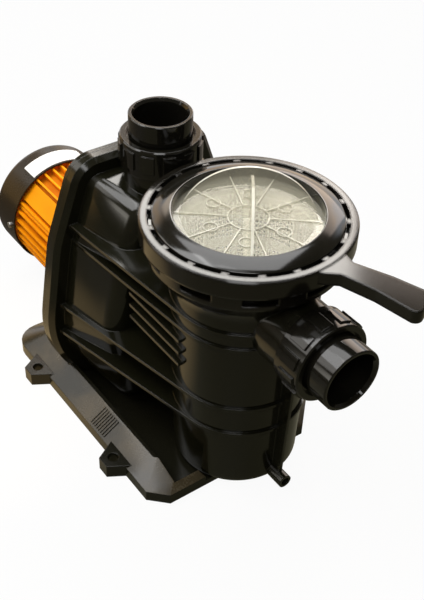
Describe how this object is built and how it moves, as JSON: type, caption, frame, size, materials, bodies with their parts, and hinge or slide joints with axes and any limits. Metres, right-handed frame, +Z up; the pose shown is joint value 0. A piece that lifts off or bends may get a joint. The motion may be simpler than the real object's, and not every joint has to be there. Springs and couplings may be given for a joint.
{
  "type": "pool pump",
  "caption": "Self-priming pool pump with a strainer pot under a clear lid and lever lock ring, glue-in unions on suction and discharge, and a finned motor on a lugged base.",
  "frame": {"origin": "centre of the four mounting holes, on the floor plane", "axes": "+X along the motor shaft towards the suction union, +Z up"},
  "size_m": [0.5627, 0.264, 0.331],
  "materials": {
    "housing_black": "satin moulded, fine grain",
    "gloss_black": "polished moulding",
    "motor_orange": "satin enamel on die-cast metal",
    "cover_grey": "satin",
    "steel": "zinc plated or ground",
    "core_steel": "stacked laminations",
    "copper": "varnished winding",
    "rubber": "matt",
    "clear": "clear moulded cover",
    "cream": "translucent natural plastic",
    "white_plate": "blank satin white",
    "ceramic": "lapped ceramic"
  },
  "bodies": {
    "pump": {"base": "housing_black", "motor_saddle": "rubber", "base_screws": "steel", "strainer_housing": "housing_black", "drain_plug": "gloss_black", "strainer_basket": "cream", "basket_bail": "cream", "lid_o_ring": "rubber", "suction_tailpiece": "gloss_black", "suction_o_ring": "rubber", "discharge_tailpiece": "gloss_black", "discharge_o_ring": "rubber", "diffuser": "housing_black", "seal_seat": "ceramic", "seal_plate": "housing_black", "flange_o_ring": "rubber", "flange_bolts": "steel", "front_end_shield": "motor_orange", "front_bearing": "steel", "rear_bearing": "steel", "stator_core": "core_steel", "stator_windings": "copper", "motor_housing": "motor_orange", "rear_end_shield": "motor_orange", "through_bolts": "steel", "fan_cover": "cover_grey", "fan_cover_screws": "steel", "nameplate": "white_plate", "terminal_box": "cover_grey", "terminal_block": "cream", "run_capacitor": "steel", "terminal_box_gasket": "rubber", "terminal_box_lid": "cover_grey", "terminal_box_screws": "steel", "cable_gland": "cover_grey", "gland_nut": "cover_grey"},
    "rotor": {"motor_shaft": "steel", "rotor_core": "core_steel", "impeller": "gloss_black", "impeller_nut": "steel", "seal_head": "steel", "slinger": "rubber", "cooling_fan": "cover_grey"},
    "lid": {"lid_window": "clear", "lid_bezel": "gloss_black"},
    "lock_ring": {"lock_ring": "gloss_black"},
    "suction_nut": {"suction_union_nut": "gloss_black"},
    "discharge_nut": {"discharge_union_nut": "gloss_black"}
  },
  "joints": [
    {"name": "shaft_spin", "type": "hinge", "parent": "pump", "child": "rotor", "pos_m": [-0.15, 0, 0.09], "axis": [1, 0, 0], "continuous": true},
    {"name": "lid_lift", "type": "slide", "parent": "pump", "child": "lid", "axis": [0, 0, 1], "range_m": [0, 0.12]},
    {"name": "lock_turn", "type": "hinge", "parent": "lid", "child": "lock_ring", "pos_m": [0.118, 0, 0.28], "axis": [0, 0, 1], "range_deg": [0, 50]},
    {"name": "suction_nut_turn", "type": "hinge", "parent": "pump", "child": "suction_nut", "pos_m": [0.225, 0, 0.2055], "axis": [1, 0, 0], "continuous": true},
    {"name": "discharge_nut_turn", "type": "hinge", "parent": "pump", "child": "discharge_nut", "pos_m": [-0.018, 0, 0.283], "axis": [0, 0, 1], "continuous": true}
  ]
}
